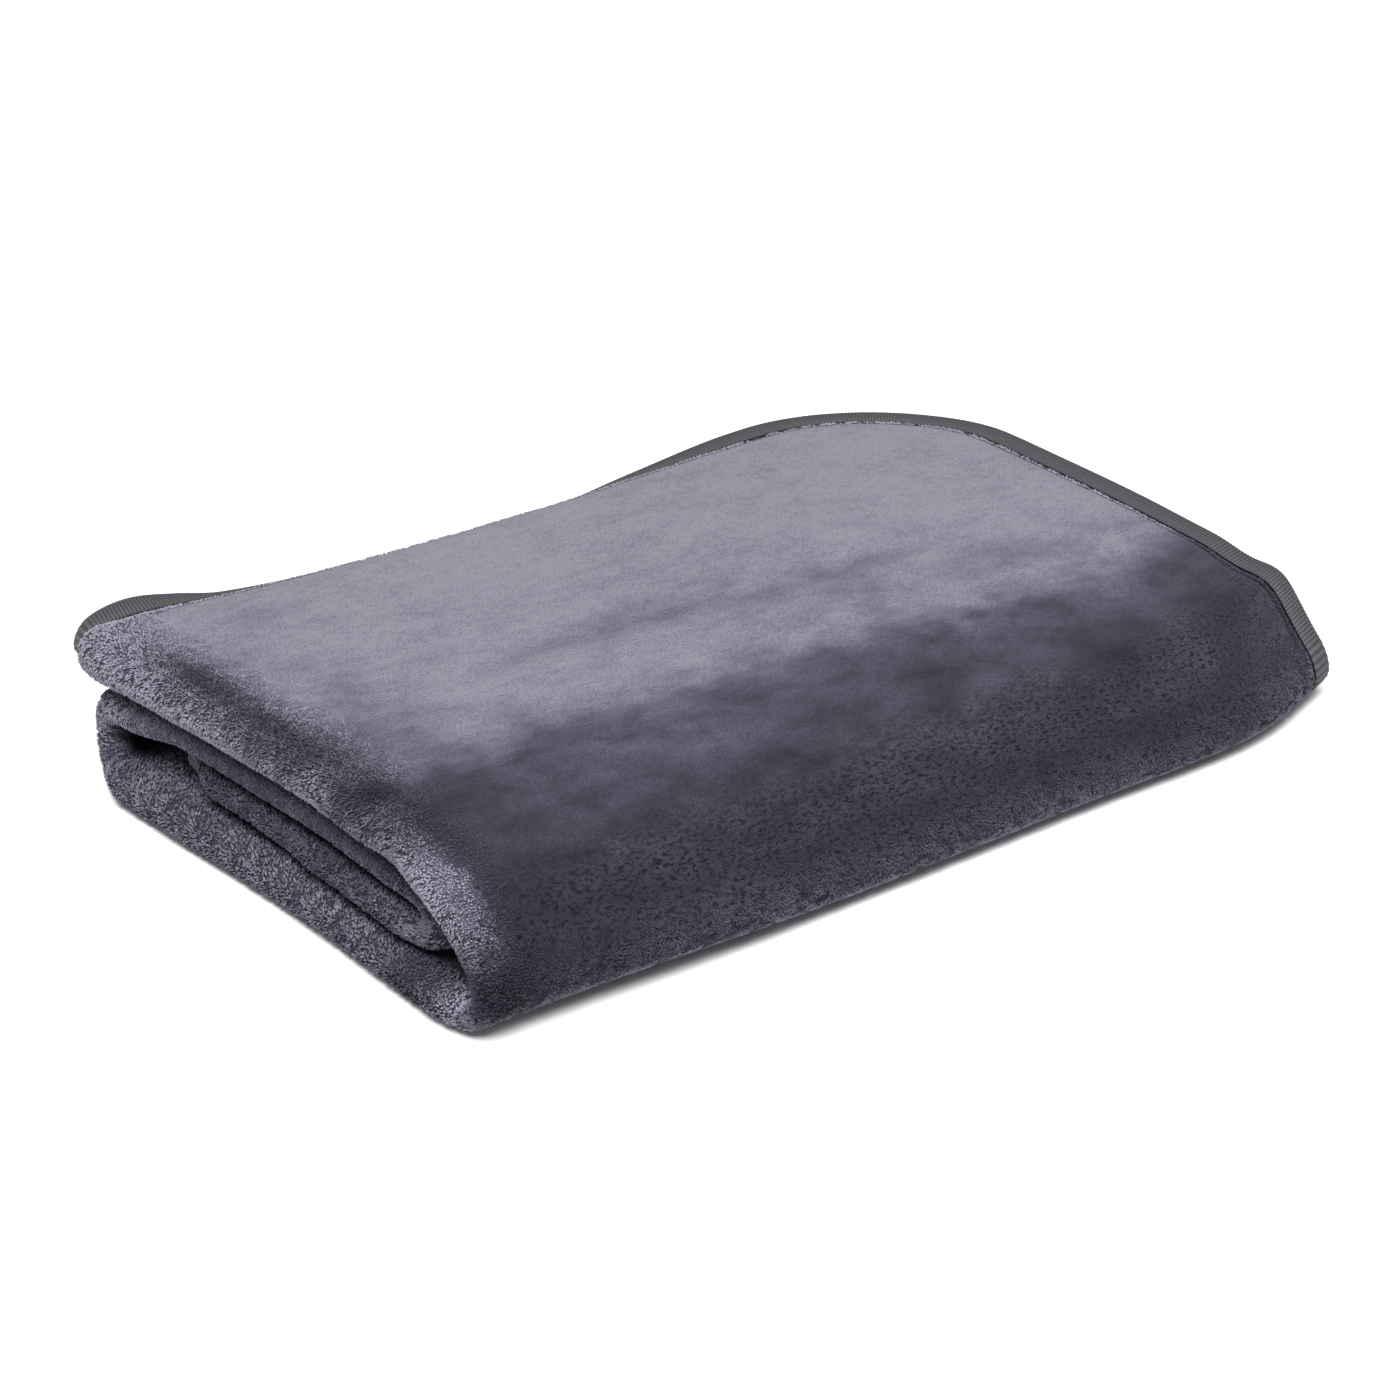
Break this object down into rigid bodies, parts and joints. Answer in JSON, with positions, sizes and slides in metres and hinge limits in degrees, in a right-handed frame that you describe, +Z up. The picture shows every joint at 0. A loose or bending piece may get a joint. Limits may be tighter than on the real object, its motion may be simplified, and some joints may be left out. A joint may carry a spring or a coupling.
{
  "type": "folded pet blanket",
  "caption": "Plush pet blanket with rounded corners and a taped edge, folded across and rolled over itself into a flat stack.",
  "frame": {"origin": "centre of the bounding box on the surface that the folded blanket lies on", "axes": "+X along the folded length from the lip to the bound ends, +Y from the front fold to the back, +Z up"},
  "size_m": [0.388, 0.2576, 0.0578],
  "materials": {
    "plush": "matt double-faced plush, lavender grey, with cloudy light and dark patches where the nap lies differently",
    "tape": "matt dark grey ribbed tape with fine ribs across its width"
  },
  "bodies": {
    "root": {"blanket": "plush", "binding": "tape"}
  },
  "joints": []
}
